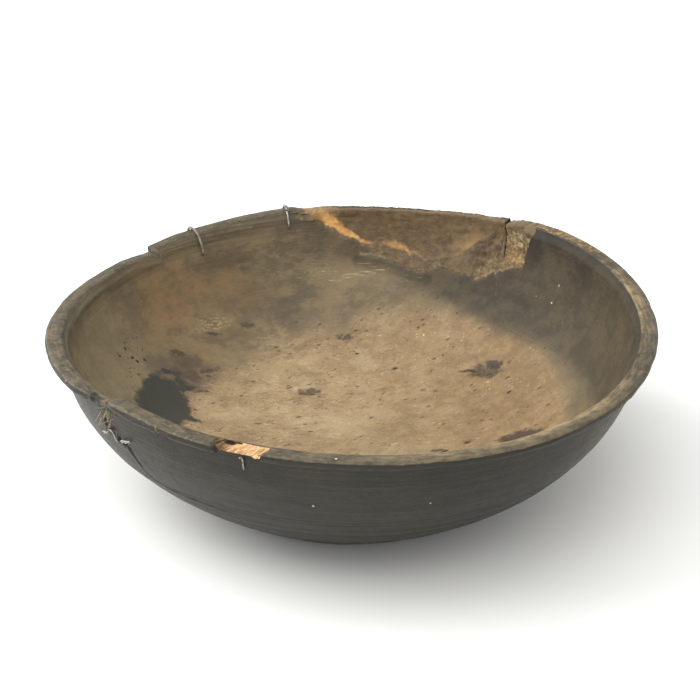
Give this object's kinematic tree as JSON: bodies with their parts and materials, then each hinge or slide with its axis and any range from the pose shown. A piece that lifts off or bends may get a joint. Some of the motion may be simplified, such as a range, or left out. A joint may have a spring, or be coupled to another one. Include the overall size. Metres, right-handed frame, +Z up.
{
  "type": "cracked wooden bowl",
  "caption": "Wide shallow turned wooden bowl with a rounded rim, split and chipped, with old wire repairs.",
  "frame": {"origin": "middle of the flat foot's underside", "axes": "+Z up out of the bowl's mouth; the rear break is towards +Y and the front chip towards -Y"},
  "size_m": [0.3393, 0.3391, 0.1062],
  "materials": {
    "old_wood": "aged, dark and worn, with pale scrubbed floor and raw broken edges",
    "wire": "dull tinned wire"
  },
  "bodies": {
    "root": {"bowl": "old_wood", "rear_left_stitch": "wire", "rear_middle_stitch": "wire", "front_stitch_stub": "wire", "crack_stitch_upper": "wire", "crack_stitch_lower": "wire"}
  },
  "joints": []
}
